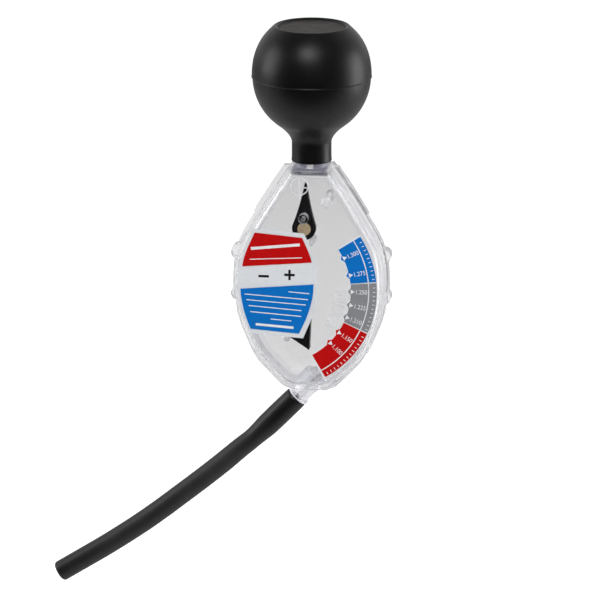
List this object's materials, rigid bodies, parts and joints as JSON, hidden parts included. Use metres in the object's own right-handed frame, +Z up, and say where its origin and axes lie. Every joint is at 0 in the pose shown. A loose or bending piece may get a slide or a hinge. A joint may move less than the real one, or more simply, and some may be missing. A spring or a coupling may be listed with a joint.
{
  "type": "battery hydrometer",
  "caption": "Rubber squeeze bulb on a flat clear housing with a swinging float pointer over a curved gravity scale, a plumb level pointer and a drip hose.",
  "frame": {"origin": "centre of the squeeze bulb, where the hand holds the hydrometer up (mount hand_grip)", "axes": "+Z up along the long axis, through the bulb and the housing; the dial faces -Y; +X to the right of someone who reads the dial, and the hose hangs down towards -X"},
  "size_m": [0.1551, 0.0536, 0.2641],
  "materials": {
    "bulb_rubber": "satin black",
    "crown_rubber": "matt black, dusty",
    "hose_rubber": "satin black",
    "clear_plastic": "clear moulded plastic, polished",
    "black_plastic": "moulded black",
    "brass": "turned",
    "steel": "drawn wire",
    "white_foil": "printed vinyl foil, satin",
    "red_foil": "printed vinyl foil, satin",
    "blue_foil": "printed vinyl foil, satin",
    "grey_foil": "printed vinyl foil, satin"
  },
  "bodies": {
    "housing": {"front_shell": "clear_plastic", "back_shell": "clear_plastic", "squeeze_bulb": "bulb_rubber", "hose_nozzle": "clear_plastic", "hose": "hose_rubber", "float_axle": "steel", "pendulum_pin": "steel", "label_card": "white_foil", "label_panel_red": "red_foil", "label_panel_blue": "blue_foil", "scale_zone_blue": "blue_foil", "scale_zone_grey": "grey_foil", "scale_zone_red": "red_foil"},
    "crown": {"bulb_crown": "crown_rubber"},
    "float": {"float_pointer": "black_plastic", "float_ballast": "brass"},
    "pendulum": {"level_pendulum": "black_plastic", "pendulum_weight": "brass"}
  },
  "joints": [
    {"name": "float_swing", "type": "hinge", "parent": "housing", "child": "float", "pos_m": [-0.0159, 0, -0.0962], "axis": [0, -1, 0], "range_deg": [0, 98]},
    {"name": "level_swing", "type": "hinge", "parent": "housing", "child": "pendulum", "pos_m": [-0.00278, 0, -0.0642], "axis": [0, -1, 0], "range_deg": [-12, 12]},
    {"name": "bulb_press", "type": "slide", "parent": "housing", "child": "crown", "axis": [0, 0, -1], "range_m": [0, 0.01], "stiffness_N_per_m": 400}
  ]
}
